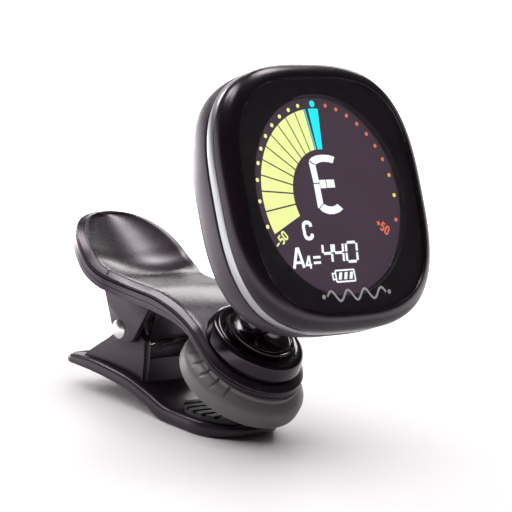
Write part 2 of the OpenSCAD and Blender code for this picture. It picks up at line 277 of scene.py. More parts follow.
def look(name, colour, rough=0.4, metal=0.0, grain=0.0, scale=2500, spread=0.05, **sockets):
    """A finish with a fine grain, and a roughness that wanders a little over the surface."""
    m = bpy.data.materials.new(name)
    m.use_nodes = True
    nodes, links = m.node_tree.nodes, m.node_tree.links
    shader = nodes["Principled BSDF"]
    shader.inputs["Base Color"].default_value = (*colour, 1)
    shader.inputs["Metallic"].default_value = metal
    for key, value in sockets.items():
        shader.inputs[key.replace("_", " ")].default_value = value
    coords = nodes.new("ShaderNodeTexCoord")
    wander = nodes.new("ShaderNodeTexNoise")
    wander.inputs["Scale"].default_value = 140
    wander.inputs["Detail"].default_value = 3
    ranged = nodes.new("ShaderNodeMapRange")
    ranged.inputs["From Min"].default_value = 0.3
    ranged.inputs["From Max"].default_value = 0.7
    ranged.inputs["To Min"].default_value = rough - spread
    ranged.inputs["To Max"].default_value = rough + spread
    links.new(coords.outputs["Object"], wander.inputs["Vector"])
    links.new(wander.outputs["Fac"], ranged.inputs["Value"])
    links.new(ranged.outputs["Result"], shader.inputs["Roughness"])
    if grain:
        fine = nodes.new("ShaderNodeTexNoise")
        fine.inputs["Scale"].default_value = scale
        fine.inputs["Detail"].default_value = 2
        bump = nodes.new("ShaderNodeBump")
        bump.inputs["Strength"].default_value = grain
        bump.inputs["Distance"].default_value = 0.0001
        links.new(coords.outputs["Object"], fine.inputs["Vector"])
        links.new(fine.outputs["Fac"], bump.inputs["Height"])
        links.new(bump.outputs["Normal"], shader.inputs["Normal"])
    return m


def lit(name, colour, strength=1.0):
    """A lit part of the display, a little uneven."""
    m = look(name, (0.02, 0.02, 0.02), 0.5)
    nodes, links = m.node_tree.nodes, m.node_tree.links
    shader = nodes["Principled BSDF"]
    shader.inputs["Emission Color"].default_value = (*colour, 1)
    noise = nodes.new("ShaderNodeTexNoise")
    noise.inputs["Scale"].default_value = 260
    ranged = nodes.new("ShaderNodeMapRange")
    ranged.inputs["To Min"].default_value = strength * 0.93
    ranged.inputs["To Max"].default_value = strength * 1.07
    links.new(nodes["Texture Coordinate"].outputs["Object"], noise.inputs["Vector"])
    links.new(noise.outputs["Fac"], ranged.inputs["Value"])
    links.new(ranged.outputs["Result"], shader.inputs["Emission Strength"])
    return m


def thin_glass(name):
    """A clear plate: what is behind shows through, with a faint sheen that wanders a little over it."""
    m = bpy.data.materials.new(name)
    m.use_nodes = True
    nodes, links = m.node_tree.nodes, m.node_tree.links
    out = nodes["Material Output"]
    clear = nodes.new("ShaderNodeBsdfTransparent")
    clear.inputs["Color"].default_value = (0.97, 0.965, 0.975, 1)
    sheen = nodes.new("ShaderNodeBsdfGlossy")
    sheen.inputs["Roughness"].default_value = 0.06
    noise = nodes.new("ShaderNodeTexNoise")
    noise.inputs["Scale"].default_value = 90
    coords = nodes.new("ShaderNodeTexCoord")
    bump = nodes.new("ShaderNodeBump")
    bump.inputs["Strength"].default_value = 0.02
    bump.inputs["Distance"].default_value = 0.0001
    share = nodes.new("ShaderNodeMapRange")
    share.inputs["To Min"].default_value = 0.03
    share.inputs["To Max"].default_value = 0.04
    mix = nodes.new("ShaderNodeMixShader")
    links.new(coords.outputs["Object"], noise.inputs["Vector"])
    links.new(noise.outputs["Fac"], bump.inputs["Height"])
    links.new(bump.outputs["Normal"], sheen.inputs["Normal"])
    links.new(noise.outputs["Fac"], share.inputs["Value"])
    links.new(share.outputs["Result"], mix.inputs["Fac"])
    links.new(clear.outputs["BSDF"], mix.inputs[1])
    links.new(sheen.outputs["BSDF"], mix.inputs[2])
    links.new(mix.outputs["Shader"], out.inputs["Surface"])
    return m


VIOLET = (1.0, 0.86, 1.0, 1)
satin = look("clip_satin", (0.013, 0.008, 0.0135), 0.33, grain=0.06, scale=3500, spread=0.02,
             Specular_Tint=VIOLET)
cover_look = look("cover_satin", (0.012, 0.0075, 0.012), 0.27, grain=0.015, scale=4200, spread=0.012,
                  Specular_Tint=VIOLET)
skirt_look = look("skirt_satin", (0.015, 0.0095, 0.016), 0.33, grain=0.06, scale=3500, spread=0.02,
                  Specular_Tint=VIOLET)
shell_look = look("shell_satin", (0.018, 0.012, 0.019), 0.38, grain=0.35, scale=6500, Specular_Tint=VIOLET)
bezel_look = look("bezel_satin", (0.004, 0.002, 0.004), 0.25, grain=0.04, scale=5200, spread=0.015,
                  Specular_IOR_Level=0.4, Specular_Tint=VIOLET)
gloss_look = look("gloss_black", (0.003, 0.0015, 0.003), 0.14, spread=0.015, Specular_IOR_Level=0.4,
                  Specular_Tint=VIOLET)
rubber_look = look("disc_rubber", (0.125, 0.115, 0.117), 0.46, grain=0.35, scale=3000)
# the lower pad: black rubber, made darker still as painted shade for the shadow under the jaw disc
pad_rubber_painted_shade = look("pad_rubber", (0.012, 0.010, 0.012), 0.6, grain=0.3, scale=3000)
silver_look = look("silver_trim", (0.36, 0.36, 0.385), 0.34, 0.85, grain=0.05, scale=6000)
chrome_look = look("chrome", (0.66, 0.65, 0.65), 0.3, 1.0, spread=0.02)
steel_look = look("screw_steel", (0.62, 0.62, 0.64), 0.3, 1.0)
spring_look = look("spring_steel", (0.42, 0.39, 0.35), 0.3, 1.0)
brass_look = look("brass", (0.78, 0.55, 0.22), 0.25, 1.0)
mask_look = look("panel_black", (0.004, 0.002, 0.004), 0.35)
ring_look = look("window_black", (0.02, 0.015, 0.02), 0.4)
glass_look = thin_glass("front_glass")
lcd_look = look("display_dark", (0.018, 0.012, 0.018), 0.35, Emission_Color=(0.052, 0.034, 0.050, 1),
                Emission_Strength=1.0)
white_look = look("white_plastic", (0.78, 0.78, 0.74), 0.4)
grey_look = look("grey_plastic", (0.10, 0.10, 0.12), 0.5)
board_look = look("board_green", (0.02, 0.13, 0.05), 0.4)
chip_look = look("chip_black", (0.012, 0.012, 0.013), 0.5)
cell_look = look("cell_wrap", (0.33, 0.36, 0.40), 0.35, 0.6)
sensor_look = look("sensor_brass", (0.75, 0.55, 0.25), 0.3, 1.0)
red_look = look("button_red", (0.45, 0.045, 0.02), 0.4, grain=0.1)
button_look = look("button_black", (0.03, 0.028, 0.032), 0.42, grain=0.15)
print_look = look("print_silver", (0.60, 0.58, 0.60), 0.35, 0.3)
green_lit = lit("lit_green", (0.90, 1.0, 0.36), 1.12)
cyan_lit = lit("lit_cyan", (0.0, 0.90, 1.0), 1.12)
white_lit = lit("lit_white", (0.93, 1.0, 1.0), 1.2)
orange_lit = lit("lit_orange", (0.85, 0.19, 0.08))
amber_lit = lit("lit_amber", (0.98, 0.45, 0.09))
yellow_lit = lit("lit_yellow", (1.0, 0.80, 0.05), 1.1)


# ---- the levers ----


class Track:
    """The side curve a lever follows, in arc length s, with the direction square to it."""

    def __init__(self, points):
        self.p = [Vector(p) for p in smooth(points, 24)]
        self.s = [0.0]
        for a, b in zip(self.p, self.p[1:]):
            self.s.append(self.s[-1] + (b - a).length)
        self.x_to_s = [(p.x, s) for p, s in zip(self.p, self.s)]
        self.s_to_x = [(s, x) for x, s in self.x_to_s]

    def at(self, x):
        """The arc length at x."""
        return along(self.x_to_s, x)

    def x(self, s):
        return along(self.s_to_x, s)

    def point(self, s, w, h):
        """The point s along, w across and h above the curve."""
        total, n = self.s[-1], len(self.s)
        s = min(max(s, 1e-6), total - 1e-6)
        i = self._find(s)
        t = (s - self.s[i]) / (self.s[i + 1] - self.s[i])
        p = self.p[i].lerp(self.p[i + 1], t)
        a, b = self.p[max(i - 1, 0)], self.p[min(i + 1, n - 1)]
        c, d = self.p[i], self.p[min(i + 2, n - 1)]
        way = (b - a).normalized().lerp((d - c).normalized(), t).normalized()
        return Vector((p.x - way.y * h, w, p.y + way.x * h))

    def _find(self, s):
        """The number of the stretch that holds s, by halving."""
        low, high = 0, len(self.s) - 2
        while low < high:
            mid = (low + high + 1) // 2
            if self.s[mid] <= s:
                low = mid
            else:
                high = mid - 1
        return low


def lever(track, outline, rim, top, foot, rows=20):
    """A lever's body. outline is half its plan, (x, half width) from the back tip to the front tip. rim lists
    (inset, height at s) down its edge; top and foot give the height at (s, share of the half width)."""
    plan = [Vector((track.at(x), w)) for x, w in outline]
    n = len(plan)
    shape = Shape()
    rings = []
    for inset, height in rim:
        ring = []
        for i, p in enumerate(plan):
            way = (plan[min(i + 1, n - 1)] - plan[max(i - 1, 0)]).normalized()
            if i == 0:
                way = Vector((0, 1))
            if i == n - 1:
                way = Vector((0, -1))
            ring.append((p.x + way.y * inset, max(p.y - way.x * inset, 0)))
        rings.append((ring, height))
    index = []
    for ring, height in rings:
        ids = []
        for s, w in ring:
            ids.append((len(shape.v), len(shape.v) + 1))
            shape.v += [track.point(s, w, height(s)), track.point(s, -w, height(s))]
        index.append(ids)
    for a, b in zip(index, index[1:]):
        for i in range(n - 1):
            for side in (0, 1):
                shape.f.append((a[i][side], a[i + 1][side], b[i + 1][side], b[i][side]))
    for ids, (ring, _), height in ((index[0], rings[0], top), (index[-1], rings[-1], foot)):
        grid = [[ids[0][0]] * (rows + 1)]
        for i in range(1, n - 1):
            s, w = ring[i]
            line = [ids[i][1]]
            for k in range(1, rows):
                share = -1 + 2 * k / rows
                line.append(len(shape.v))
                shape.v.append(track.point(s, share * w, height(s, share)))
            grid.append(line + [ids[i][0]])
        grid.append([ids[-1][0]] * (rows + 1))
        for a, b in zip(grid, grid[1:]):
            for k in range(rows):
                face = list(dict.fromkeys((a[k], a[k + 1], b[k + 1], b[k])))
                shape.f.append(tuple(face))
    return shape


def arc(cx, cy, r, a0, a1, n):
    """Points on a circle; angles in degrees from the back tip, turning outwards."""
    return [(cx - r * math.cos(math.radians(a0 + (a1 - a0) * k / n)),
             cy + r * math.sin(math.radians(a0 + (a1 - a0) * k / n))) for k in range(n + 1)]


# the seam between cover and skirt crosses the swivel's axis this far below its origin
SEAM_DEPTH = 4.8
seam = SWIVEL(0, 0, -SEAM_DEPTH)
lean = SWIVEL.x
ahead = [(seam.x + lean.x * d, seam.z + lean.z * d + lift)
         for d, lift in ((-6.5, 1.4), (-3, 0.9), (3, 0.1), (10, 0), (12.5, 0))]
upper = Track([(-42, 34.0), (-38, 32.6), (-34.5, 30.75), (-31, 28.5), (-27.9, 26.3), (-24, 24.7), (-20, 23.9),
               (-15, 23.62), (-10.5, 23.35), (-4.5, 22.05)] + ahead)
JAW_R = 11.3
jaw_span = JAW_R * lean.x
waist = [(-22.7, 11.9), (-21.2, 11.4), (-19.5, 11.07), (-17, 10.9), (-13, 10.85), (-9, 10.85), (-5, 10.9),
         (-1, 11.05), (2, 11.2)]
outline = arc(-27.85, 0, 13.15, 0, 108, 40)
outline += [tuple(p) for p in smooth([outline[-1]] + waist + [(seam.x, JAW_R)], 4)][1:-1]
outline += [(seam.x + jaw_span * math.sin(math.radians(a)), JAW_R * math.cos(math.radians(a)))
            for a in range(0, 91, 3)]

cover_h = eased([(-42, 1.1), (-34, 1.25), (-27.6, 1.3), (-20, 1.3), (-10.3, 1.35), (-3.5, 1.3), (1, 1.05),
                 (16, 1.0)])
skirt_h = eased([(-42, 1.55), (-34.5, 2.1), (-28, 2.5), (-20, 2.6), (-10.4, 2.6), (-4.6, 2.0), (0.2, 1.5),
                 (6, 1.2), (16, 1.2)])
SCREW_HOLE, SWIVEL_WELL = 3.1, 10.05
UPPER_PIN_HOLE, LOWER_PIN_HOLE = 1.27, 1.22
DISH_X, DISH_HALF, DISH_DEPTH = -29.2, 12.2, 2.0
WAIST_SWELL = 0.25
CHEEK_EDGE = 0.3


def of_x(table, track):
    """The height at s along a track, from a list of (x, height)."""
    return lambda s: along(table, track.x(s))


def cheeks(shape, side_outline, inner, outer):
    """A pair of cheeks, one on each side of the middle."""
    for side in (-1, 1):
        shape.plate(side_outline, *sorted((inner * side, outer * side)), CHEEK_EDGE)


cover_top, skirt_foot = of_x(cover_h, upper), of_x(skirt_h, upper)


def dish(s, share):
    """How far the thumb pad is hollowed, and how the waist swells."""
    x = upper.x(s)
    bowl = max(0, 1 - ((x - DISH_X) / DISH_HALF) ** 2) * ease((-17.5 - x) / 7)
    swell = WAIST_SWELL * ease((x + 21) / 6) * (1 - ease((x + 4) / 6))
    return (swell - DISH_DEPTH * bowl) * (1 - share * share)


cover = lever(
    upper, outline,
    [(1.55, lambda s: cover_top(s) + 0.03), (1.3, lambda s: cover_top(s) - 0.02),
     (1.1, lambda s: cover_top(s) - 0.12),
     (0.25, lambda s: 0.48), (0.07, lambda s: 0.36), (0.0, lambda s: 0.22), (0.0, lambda s: 0.1),
     (0.12, lambda s: 0.02), (0.9, lambda s: 0.0)],
    lambda s, share: cover_top(s) + 0.03 + dish(s, share),
    lambda s, share: min(0, 0.9 * dish(s, share)),
).mesh("upper_cover_shell", 40)
bore = Shape().spin(SWIVEL, rod(SCREW_HOLE, -9, 2), n=48)
bore.spin(SWIVEL, rod(SWIVEL_WELL, -3.85, 6))
cut(cover, bore, 40)
put(cover, "upper_clip", "cover_plastic", cover_look, "upper_cover")

skirt = lever(
    upper, outline,
    [(0.9, lambda s: -0.1), (0.3, lambda s: -0.1), (0.1, lambda s: -0.16), (0.0, lambda s: -0.3),
     (0.0, lambda s: -0.48 * skirt_foot(s)), (0.12, lambda s: -0.48 * skirt_foot(s) - 0.07),
     (0.02, lambda s: -0.48 * skirt_foot(s) - 0.14), (0.02, lambda s: 0.35 - skirt_foot(s)),
     (0.12, lambda s: 0.12 - skirt_foot(s)), (0.4, lambda s: -skirt_foot(s)),
     (0.8, lambda s: -skirt_foot(s))],
    lambda s, share: -0.1 + min(0, 0.9 * dish(s, share)),
    lambda s, share: -skirt_foot(s) + 0.1 * (1 - share * share),
)
upper_cheek = smooth([(-28.2, 23.4), (-26.2, 19.6), (-24.1, 15.2), (-23.3, 13.5), (-21.7, 12.5),
                      (-19.6, 12.5),
                      (-17.9, 12.9), (-16.8, 14.0), (-14.8, 17.8), (-12.8, 21.6)], 5)
upper_cheek += [Vector((-16, 22.3)), Vector((-20, 22.6)), Vector((-24, 22.9))]
cheeks(skirt, upper_cheek, 8.0, 9.2)
wall = smooth([(-17.2, 13.7), (-16.9, 13.35), (-16.4, 13.5), (-14.5, 17.2), (-12.4, 21.4)],
              4) + [Vector((-14, 21.6))]
skirt.plate(wall, -5.6, 5.6, 0.4)
frame_piece = skirt.mesh("upper_frame_body", 35)
hole = Shape().spin(SWIVEL, rod(SCREW_HOLE, -9, -3), n=48)
hole.spin(sideways(PIVOT), rod(UPPER_PIN_HOLE, -12, 12), n=48)
cut(frame_piece, hole)
put(frame_piece, "upper_clip", "clip_plastic", skirt_look, "upper_frame")

low_top = eased([(-38, 6.2), (-29.6, 6.9), (-23.3, 6.6), (-17, 5.9), (-10.8, 4.3), (-6, 3), (2, 2.9),
                 (14, 2.8)])
low_foot = eased([(-38, 4.6), (-29, 4.5), (-23, 4.1), (-16.7, 3.3), (-11.2, 1.7), (-8.4, 0.5), (-6.5, 0.02)])
low_foot += [(4.5, 0.0)] + eased([(5, 0), (10, 0.9), (14.2, 2.15)])
flat = Track([(-40, 0), (20, 0)])
top_at, foot_at = of_x(low_top, flat), of_x(low_foot, flat)
low_outline = [(-37.7, w) for w in (0, 2, 4, 6)] + arc(-34.7, 6.5, 3.0, 0, 90, 10)[1:]
low_outline += smooth([(-30, 9.5), (-22, 9.5), (-12, 9.5), (-5, 9.55), (-1, 9.65), (1.8, 9.7)], 6)
low_outline += [(1.8 + 9.7 * math.sin(math.radians(a)), 9.7 * math.cos(math.radians(a)))
                for a in range(6, 91, 4)]
lower = lever(
    flat, [tuple(p) for p in low_outline],
    [(1.3, top_at), (0.7, lambda s: top_at(s) - 0.08), (0.22, lambda s: top_at(s) - 0.3),
     (0.02, lambda s: top_at(s) - 0.6), (0.0, lambda s: foot_at(s) + 0.45),
     (0.12, lambda s: foot_at(s) + 0.12),
     (0.45, foot_at)],
    lambda s, share: top_at(s) - 0.25 * (1 - share * share) * ease((-8 - flat.x(s)) / 8),
    lambda s, share: foot_at(s),
)
low_cheek = smooth([(-33.4, 6.3), (-31.2, 8.1), (-28.6, 10.0), (-26.4, 11.6), (-24.9, 13.1), (-24.4, 15.2),
                    (-23.4, 17.0), (-21.6, 17.6), (-19.6, 16.9), (-17.6, 15.4), (-15.3, 13.5)], 4)
low_cheek += [Vector((-15, 9)), Vector((-15, 5.1)), Vector((-20, 5.4)), Vector((-27, 5.8))]
cheeks(lower, low_cheek, 6.0, 7.7)
lower.plate([(-16.4, 4.9), (-15.2, 4.6), (-15.2, 9.9), (-15.5, 10.2), (-16.1, 10.2), (-16.4, 9.9)], -6.2,
            6.2, 0.2)
lower_piece = lower.mesh("lower_lever_body", 35)
cut(lower_piece, Shape().spin(sideways(PIVOT), rod(LOWER_PIN_HOLE, -12, 12), n=48))
put(lower_piece, "lower_clip", "clip_plastic", satin, "lower_lever")

pin = Shape().spin(
    sideways(PIVOT),
    [(0.02, -9.94), (0.7, -9.88), (1.25, -9.7), (1.65, -9.45), (1.85, -9.3), (1.85, -9.24), (1.19, -9.22)]
    + [(1.19, 9.22), (1.85, 9.24), (1.85, 9.3), (1.65, 9.45), (1.25, 9.7), (0.7, 9.88), (0.02, 9.94)],
    n=64,
).mesh("pivot_pin_domed", 50)
put(pin, "lower_clip", "chromed_pin", chrome_look, "pivot_pin")


# ---- jaw disc ----

DISC_AHEAD, DISC_STEPS = 1.3, 288
NOTCH_DEPTHS = (0, 0, 0, 0.5, 0.5, 0.9, 0.6)
NOTCH_EVERY = 12
NOTCHES_FROM, NOTCHES_TO = 48, 241
disc_rows = [(4.6, -7.9), (4.6, -6.03), (10.1, -6.03), (10.28, -6.15), (10.4, -6.8), (11.0, -7.15),
             (11.6, -7.55),
             (12.05, -7.95), (12.4, -8.4), (12.55, -8.9), (12.6, -9.5), (12.6, -10.6), (12.52, -11.0),
             (12.3, -11.3), (11.9, -11.46), (11.5, -11.5), (9.2, -11.5), (9.0, -11.25), (8.6, -11.25),
             (8.4, -11.5), (6.2, -11.5), (6.0, -11.25), (5.6, -11.25), (5.4, -11.5)]


def disc_notch(i, k):
    """How deep a notch is at row i of the disc and step k round it."""
    notched = k % NOTCH_EVERY in (0, 1) and NOTCHES_FROM <= k <= NOTCHES_TO
    return NOTCH_DEPTHS[i] if i < len(NOTCH_DEPTHS) and notched else 0


jaw_disc = Shape().spin(SWIVEL.moved(DISC_AHEAD, 0, 0), disc_rows, n=DISC_STEPS, notch=disc_notch)
jaw_disc = jaw_disc.mesh("jaw_disc", 40)
put(jaw_disc, "upper_clip", "disc_rubber", rubber_look, "jaw_pad")


# ---- swivel ----

base = Shape().spin(
    SWIVEL,
    [(1.45, -6.1), (2.9, -6.1), (3.0, -6.0), (3.0, -3.7), (9.3, -3.7), (9.45, -3.6), (9.5, -2.95),
     (9.8, -2.85),
     (9.88, -2.7), (9.85, -2.5), (9.4, -0.8), (9.3, -0.5), (9.1, -0.25), (8.5, 0.0), (8.3, 0.02),
     (7.3, -0.05),
     (7.0, -0.25), (6.6, -0.25), (1.45, -0.25)],
    closed=True, n=128,
).mesh("swivel_base_stepped", 30)
put(base, "swivel", "gloss_black", gloss_look, "swivel_base")
collar = Shape().spin(
    SWIVEL,
    [(5.9, -0.2), (6.6, -0.2), (6.72, 0.0), (6.75, 0.75), (6.68, 0.93), (6.52, 1.0), (6.4, 0.95), (6.3, 0.75),
     (6.1, 0.62), (5.9, 0.6)],
    closed=True, n=128,
).mesh("swivel_collar_lip", 40)
put(collar, "swivel", "gloss_black", gloss_look, "swivel_collar")

tongue = Shape().spin(SWIVEL, [(5.78, 0.02), (5.78, 0.8), (5.6, 0.98), (1.0, 0.98)], n=96)
TONGUE_R, TONGUE_EYE, TONGUE_HALF = 4.2, 6.0, 2.5
tongue_side = [(TONGUE_R, 0.5), (TONGUE_R, TONGUE_EYE)]
for degrees in range(10, 180, 10):
    a = math.radians(degrees)
    tongue_side.append((TONGUE_R * math.cos(a), TONGUE_EYE + TONGUE_R * math.sin(a)))
tongue_side += [(-TONGUE_R, TONGUE_EYE), (-TONGUE_R, 0.5)]
tongue.loft([[SWIVEL(x, y, h) for x, h in tongue_side] for y in (-TONGUE_HALF, TONGUE_HALF)])
post = soften(tongue.mesh("hinge_post_tongue", 30), 0.35)
settle(post, 30)
drill = Shape().spin(sideways(HINGE.o), rod(1.26, -8, 8), n=48)
drill.spin(SWIVEL, rod(1.45, -2, 3.6), n=48)
cut(post, drill, 30)
put(post, "swivel", "gloss_black", gloss_look, "hinge_post")

ear_side = [(4.1 * math.cos(math.radians(a)), 4.1 * math.sin(math.radians(a))) for a in range(180, 361, 9)]
neck_top = -10.95 - HINGE_N
ear_side += [(4.1, neck_top), (-4.1, neck_top)]
fork = Shape().loft([[HINGE(x, y, h) for x, h in ear_side] for y in (-5.3, 5.3)]).mesh("head_bracket_fork",
                                                                                       30)
slot_side = [(-10, -10), (10, -10), (10, 5), (-10, 5)]
slot_cut = Shape().loft([[HINGE(x, y, h) for x, h in slot_side] for y in (-2.78, 2.78)])
cut(fork, slot_cut, 30)
soften(fork, 0.4)
settle(fork, 30)
holes = Shape().spin(sideways(HINGE.o), rod(1.22, -10, 10), n=48)
holes.spin(sideways(HINGE.o), rod(2.1, -10, -3.9), n=64)
holes.spin(sideways(HINGE.o), rod(2.32, 3.9, 10), n=6)
cut(fork, holes, 30)
put(fork, "head", "gloss_black", gloss_look, "head_bracket")


# ---- head ----

# how square the bowed outlines are: 2 is a circle, and more is squarer
BOW, PANEL_BOW = 2.95, 3.2
KEY_X, KEY_PITCH = -14.2, 8.8
SCREW_AT = 16.5
SOCKET_HALF, SOCKET_R = 3.1, 1.6
shell = Shape().bowed(
    HEAD,
    [(18.4, -10.9, BOW), (20.8, -9.8, BOW), (23.4, -7.0, BOW), (23.4, -3.95, BOW), (24.6, -3.95, BOW),
     (24.85, -4.0, BOW),
     (24.98, -4.15, BOW), (25, -4.4, BOW), (24.97, -5.2, BOW), (24.87, -6.1, BOW), (24.7, -7.0, BOW),
     (24.44, -7.9, BOW),
     (24.05, -8.8, BOW), (23.52, -9.7, BOW), (22.8, -10.6, BOW), (21.85, -11.4, BOW), (20.7, -12.02, BOW),
     (19.6, -12.38, BOW), (18.8, -12.5, BOW)],
).mesh("rear_shell_case", 30)
cutters = Shape()
for k in (-1, 0, 1):
    cutters.spin(HEAD.moved(KEY_X, KEY_PITCH * k, 0), [(2.72, -8), (2.72, -12.2), (3.1, -13)], n=64)
for sx in (-SCREW_AT, SCREW_AT):
    for sy in (-SCREW_AT, SCREW_AT):
        cutters.spin(HEAD.moved(sx, sy, 0), rod(1.7, -9.5, -14), n=48)
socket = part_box("charge_socket")
sock = (socket[0] + socket[1]) / 2 / MM - HEAD.o
sock_x, sock_n = sock.dot(HEAD.x), sock.dot(HEAD.z)
mouth = []
for k in range(48):
    a = math.tau * k / 48
    end = SOCKET_HALF if math.cos(a) > 0 else -SOCKET_HALF
    mouth.append((sock_x + end + SOCKET_R * math.cos(a), sock_n + SOCKET_R * math.sin(a)))
cutters.loft([[HEAD(x, y, h) for x, h in mouth] for y in (20.5, 28)])
cutters.loft([[HEAD(HINGE_X + x, y, h) for x, y in ((-4.15, -5.35), (4.15, -5.35), (4.15, 5.35),
                                                    (-4.15, 5.35))]
              for h in (-14, -9.5)])
cut(shell, cutters, 30)
put(shell, "head", "shell_plastic", shell_look, "rear_shell")

trim = Shape().bowed(
    HEAD,
    [(23.4, -3.82, BOW), (24.6, -3.82, BOW), (24.82, -3.76, BOW), (24.9, -3.62, BOW), (24.9, -2.1, BOW),
     (24.82, -1.97, BOW),
     (24.6, -1.91, BOW), (23.4, -1.91, BOW)],
    closed=True,
).mesh("trim_band", 40)
put(trim, "head", "silver_trim", silver_look, "trim_ring")

bezel = Shape().bowed(
    HEAD,
    [(23.4, -1.8, BOW), (24.65, -1.8, BOW), (24.88, -1.74, BOW), (24.98, -1.6, BOW), (25, -1.35, BOW),
     (25, -0.5, BOW),
     (24.93, -0.05, BOW), (24.75, 0.4, BOW), (24.45, 0.8, BOW), (24.0, 1.17, BOW), (23.5, 1.46, BOW),
     (22.95, 1.68, BOW),
     (22.45, 1.81, 3.05), (22.1, 1.85, 3.15), (21.95, 1.82, PANEL_BOW), (21.87, 1.7, PANEL_BOW),
     (21.86, 1.08, PANEL_BOW),
     (19.6, 1.08, 2.0), (19.6, 0.02, 2.0), (23.4, 0.02, BOW)],
    closed=True,
).mesh("front_bezel_ring", 30)
put(bezel, "head", "bezel_plastic", bezel_look, "front_bezel")

panel_ring = Shape().bowed(
    HEAD, [(18.9, 1.11, 2.0), (21.8, 1.11, PANEL_BOW), (21.8, 1.2, PANEL_BOW), (18.9, 1.2, 2.0)], closed=True
).mesh("panel_mask_print", 30)
put(panel_ring, "head", "panel_black", mask_look, "panel_mask")

glass = Shape().bowed(
    HEAD, [(21.6, 1.24, PANEL_BOW), (21.76, 1.3, PANEL_BOW), (21.8, 1.4, PANEL_BOW),
           (21.8, 1.72, PANEL_BOW), (21.74, 1.81, PANEL_BOW), (21.6, 1.85, PANEL_BOW)]
).mesh("front_glass_plate", 30)
put(glass, "head", "clear_panel", glass_look, "front_panel")

window = Shape().spin(
    HEAD, [(18.9, 1.08), (19.5, 1.08), (19.5, 0.03), (18.45, 0.03), (18.5, 0.12), (18.86, 0.2)],
    closed=True, n=144
).mesh("window_wall", 40)
put(window, "head", "gloss_black", ring_look, "window_ring")

face = Shape().spin(
    HEAD, [(20.4, -1.35), (20.4, -0.06), (20.34, 0.0)], n=144
).mesh("display_face", 30)
put(face, "head", "display_glass", lcd_look, "display_module")


# ---- what the display shows ----

LIT = Place(HEAD.o + HEAD.z * 0.02, HEAD.y, -HEAD.x, HEAD.z)
# the radius of the ring of dots, and of the fan's two edges
DIAL = 17.36
FAN_OUT, FAN_IN = 0.948 * DIAL, 0.507 * DIAL
THICK = 0.05
DOT_R, DOT_SIDES = 0.38, 20


def polar(deg, r):
    a = math.radians(deg)
    return r * math.sin(a), r * math.cos(a)


def disc(u, v, r):
    """The outline of a dot."""
    angles = [math.tau * k / DOT_SIDES for k in range(DOT_SIDES)]
    return [(u + r * math.cos(a), v + r * math.sin(a)) for a in angles]


def dot(shape, u, v, r):
    return shape.tile(LIT, disc(u, v, r), 0, THICK)


def wedge(shape, a0, a1, gap=0.14):
    """A slice of the fan, with a hair of a gap on each side."""
    go, gi = math.degrees(gap / FAN_OUT), math.degrees(gap / FAN_IN)
    steps = 6
    pts = [polar(a0 + go + (a1 - a0 - 2 * go) * k / steps, FAN_OUT) for k in range(steps + 1)]
    pts += [polar(a1 - gi - (a1 - a0 - 2 * gi) * k / steps, FAN_IN) for k in range(steps + 1)]
    return shape.tile(LIT, pts, 0, THICK)


ticks = [11.8, 20.7, 29.9, 39.2, 48.6, 58.1, 67.8, 78.4, 91.3, 107.0]
fan = Shape()
edges = [7.6, 16.5, 26.1, 35.2, 44.9, 54.4, 64.2, 74.6, 85.0, 98.1, 113.6]
for a0, a1 in zip(edges, edges[1:]):
    wedge(fan, -a1, -a0)
for a in ticks:
    dot(fan, *polar(-a, DIAL), DOT_R)
orange, amber, yellow = Shape(), Shape(), Shape()
warm = {7: amber, 8: yellow}
for k, a in enumerate(ticks):
    dot(warm.get(k, orange), *polar(a, DIAL), DOT_R)
cyan = Shape()
wedge(cyan, -4.2, 5.4)
cyan.stroke(LIT, [polar(-6.9, FAN_OUT), polar(-6.6, FAN_IN)], 0.22, 0, THICK)
dot(cyan, *polar(0.6, DIAL), 0.62)

white = Shape()
# the note letter: five blocks with hairline gaps
white.tile(LIT, [(-3.25, 6.75), (-2.5, 7.3), (-1.2, 7.65), (0.4, 7.75), (2.0, 7.65), (3.4, 7.25), (2.65, 6.1),
                 (1.6, 6.35), (0.3, 6.45), (-0.9, 6.3), (-1.75, 5.95)], 0, THICK)
white.tile(LIT, [(-3.4, 6.5), (-1.85, 5.75), (-1.75, 2.55), (-3.15, 2.55)], 0, THICK)
white.tile(LIT, [(-3.15, 2.35), (-1.75, 2.35), (-1.7, -1.3), (-2.95, -2.2), (-3.2, -2.0)], 0, THICK)
white.tile(LIT, [(-1.6, 3.05), (-0.1, 3.05), (-0.1, 1.5), (-1.6, 1.5)], 0, THICK)
white.tile(LIT, [(0.15, 3.05), (2.15, 3.05), (2.15, 1.55), (0.15, 1.55)], 0, THICK)
white.tile(LIT, [(-2.8, -2.35), (-1.6, -1.45), (-0.7, -1.85), (0.3, -2.0), (1.2, -1.85), (1.9, -1.55),
                 (3.15, -2.55),
                 (2.1, -3.1), (0.7, -3.4), (-0.8, -3.35), (-2.1, -2.9)], 0, THICK)


def rounded(x0, y0, x1, y1, r, n=4):
    pts = []
    for cx, cy, a0 in ((x1 - r, y1 - r, 0), (x0 + r, y1 - r, 90), (x0 + r, y0 + r, 180),
                       (x1 - r, y0 + r, 270)):
        pts += [(cx + r * math.cos(math.radians(a0 + 90 * k / n)),
                 cy + r * math.sin(math.radians(a0 + 90 * k / n)))
                for k in range(n + 1)]
    return pts


def turned(points, u, v, deg, size):
    """Places letter points at (u, v), turned and scaled."""
    c, s = math.cos(math.radians(deg)), math.sin(math.radians(deg))
    out = []
    for x, y in points:
        x, y = x * size, y * size
        out.append((u + x * c - y * s, v + x * s + y * c))
    return out


